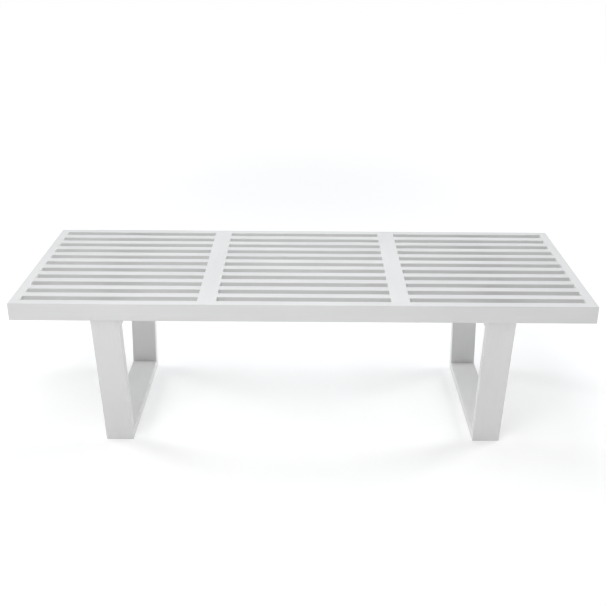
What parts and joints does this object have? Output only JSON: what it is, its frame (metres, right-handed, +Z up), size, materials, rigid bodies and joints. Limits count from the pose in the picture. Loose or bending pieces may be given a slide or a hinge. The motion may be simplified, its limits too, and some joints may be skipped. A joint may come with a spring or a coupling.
{
  "type": "garden bench",
  "caption": "Low backless slatted bench of white lacquered wood: a flat seat of spaced boards with flush cross bands, on closed trapezoid leg frames.",
  "frame": {"origin": "on the floor, under the middle of the seat", "axes": "+X along the seat's length, to the right seen from the front; +Y from the front to the rear; +Z up"},
  "size_m": [1.219, 0.47, 0.356],
  "materials": {
    "white_lacquered_wood": "satin white lacquer",
    "key_wood": "bare beech, glued",
    "zinc_plated_steel": "bright zinc plate",
    "brass": "plain turned brass"
  },
  "bodies": {
    "root": {"front_rail": "white_lacquered_wood", "rear_rail": "white_lacquered_wood", "slat_01": "white_lacquered_wood", "slat_02": "white_lacquered_wood", "slat_03": "white_lacquered_wood", "slat_04": "white_lacquered_wood", "slat_05": "white_lacquered_wood", "slat_06": "white_lacquered_wood", "slat_07": "white_lacquered_wood", "slat_08": "white_lacquered_wood", "slat_09": "white_lacquered_wood", "slat_10": "white_lacquered_wood", "left_end_rail": "white_lacquered_wood", "left_cross_rail": "white_lacquered_wood", "left_leg_top_rail": "white_lacquered_wood", "left_leg_foot_rail": "white_lacquered_wood", "left_leg_front_upright": "white_lacquered_wood", "left_leg_rear_upright": "white_lacquered_wood", "right_end_rail": "white_lacquered_wood", "right_cross_rail": "white_lacquered_wood", "right_leg_top_rail": "white_lacquered_wood", "right_leg_foot_rail": "white_lacquered_wood", "right_leg_front_upright": "white_lacquered_wood", "right_leg_rear_upright": "white_lacquered_wood", "corner_key_left_front": "key_wood", "corner_key_left_rear": "key_wood", "corner_key_right_front": "key_wood", "corner_key_right_rear": "key_wood", "leg_bolt_left_1": "zinc_plated_steel", "leg_washer_left_1": "zinc_plated_steel", "leg_bolt_left_2": "zinc_plated_steel", "leg_washer_left_2": "zinc_plated_steel", "leg_bolt_left_3": "zinc_plated_steel", "leg_washer_left_3": "zinc_plated_steel", "leg_bolt_left_4": "zinc_plated_steel", "leg_washer_left_4": "zinc_plated_steel", "leg_bolt_right_1": "zinc_plated_steel", "leg_washer_right_1": "zinc_plated_steel", "leg_bolt_right_2": "zinc_plated_steel", "leg_washer_right_2": "zinc_plated_steel", "leg_bolt_right_3": "zinc_plated_steel", "leg_washer_right_3": "zinc_plated_steel", "leg_bolt_right_4": "zinc_plated_steel", "leg_washer_right_4": "zinc_plated_steel", "threaded_insert_left_1": "brass", "threaded_insert_left_2": "brass", "threaded_insert_left_3": "brass", "threaded_insert_left_4": "brass", "threaded_insert_right_1": "brass", "threaded_insert_right_2": "brass", "threaded_insert_right_3": "brass", "threaded_insert_right_4": "brass"}
  },
  "joints": []
}
